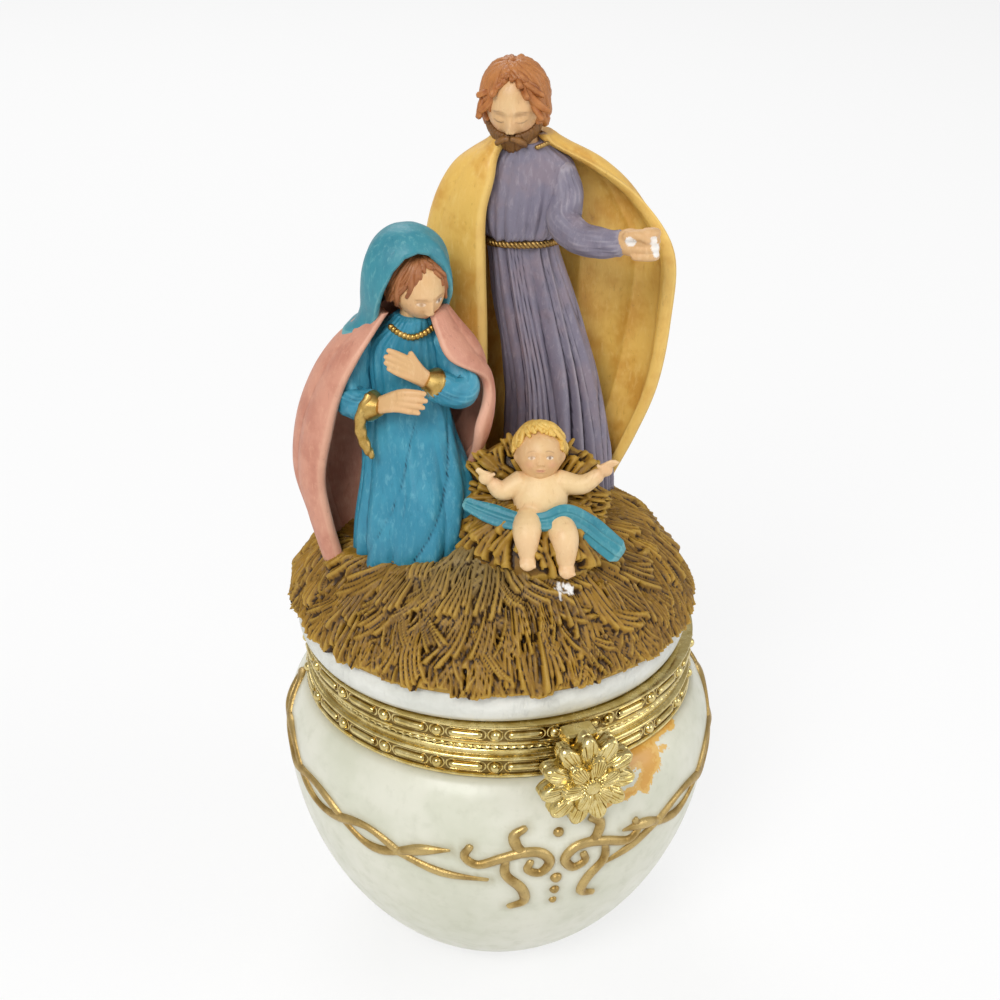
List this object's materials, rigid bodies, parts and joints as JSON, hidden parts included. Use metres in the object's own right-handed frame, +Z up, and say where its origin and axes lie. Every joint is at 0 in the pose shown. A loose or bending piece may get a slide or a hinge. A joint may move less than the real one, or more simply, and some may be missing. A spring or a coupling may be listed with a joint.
{
  "type": "nativity musical trinket box",
  "caption": "Round footed trinket box with a hinged gilt band, rosette clasp, nativity figures on a straw lid and a wind-up musical movement.",
  "frame": {"origin": "middle of the part's bounding box, on the foot's resting plane", "axes": "+Z up; the rosette clasp faces -Y, the hinge is at +Y"},
  "size_m": [0.0708, 0.0764, 0.1451],
  "materials": {
    "white_glaze": "satin off-white paint on cast resin",
    "gilt_metal": "polished gilt",
    "straw_paint": "painted cast resin, ochre over brown wash",
    "robe_mauve": "painted cast resin, mauve and golden yellow",
    "robe_blue": "painted cast resin, blue and rose",
    "skin_paint": "painted cast resin",
    "steel": "plain",
    "brass": "stamped",
    "zinc_casting": "as cast, plated",
    "tray_plastic": "dark red"
  },
  "bodies": {
    "box": {"bowl": "white_glaze", "base_ring": "gilt_metal", "hinge_pin": "brass", "catch_stud": "gilt_metal", "trinket_tray": "tray_plastic", "movement_bedplate": "zinc_casting", "mounting_screw_1": "steel", "mounting_screw_2": "steel", "mounting_screw_3": "steel", "spring_barrel": "brass", "gear_frame": "brass", "comb": "steel", "comb_screw_1": "steel", "comb_screw_2": "steel", "governor_bracket": "brass"},
    "lid": {"lid_ring": "gilt_metal", "clasp_tab": "gilt_metal", "flower_clasp": "gilt_metal", "lid_shell": "white_glaze", "straw_mound": "straw_paint", "joseph_figure": "robe_mauve", "mary_figure": "robe_blue", "infant_figure": "skin_paint", "manger_straw": "straw_paint"},
    "key": {"crown_wheel": "brass", "winding_key": "zinc_casting"},
    "cylinder": {"pin_cylinder": "brass"},
    "governor": {"governor_wheel": "brass"},
    "fan": {"governor_fan": "steel"}
  },
  "joints": [
    {"name": "lid_hinge", "type": "hinge", "parent": "box", "child": "lid", "pos_m": [0.00005, 0.03627, 0.0515], "axis": [-1, 0, 0], "range_deg": [0, 95]},
    {"name": "key_turn", "type": "hinge", "parent": "box", "child": "key", "pos_m": [-0.00495, 0.00187, 0], "axis": [0, 0, 1], "continuous": true},
    {"name": "cylinder_turn", "type": "hinge", "parent": "box", "child": "cylinder", "pos_m": [0.00005, 0.00187, 0.02265], "axis": [1, 0, 0], "continuous": true},
    {"name": "governor_turn", "type": "hinge", "parent": "box", "child": "governor", "pos_m": [0.00005, 0.00857, 0.02265], "axis": [1, 0, 0], "continuous": true},
    {"name": "fan_turn", "type": "hinge", "parent": "box", "child": "fan", "pos_m": [0.01435, 0.01282, 0], "axis": [0, 0, 1], "continuous": true}
  ],
  "couplings": [
    {"joint": "cylinder_turn", "follows": "key_turn", "ratio": 2},
    {"joint": "governor_turn", "follows": "key_turn", "ratio": -4},
    {"joint": "fan_turn", "follows": "key_turn", "ratio": 44}
  ]
}
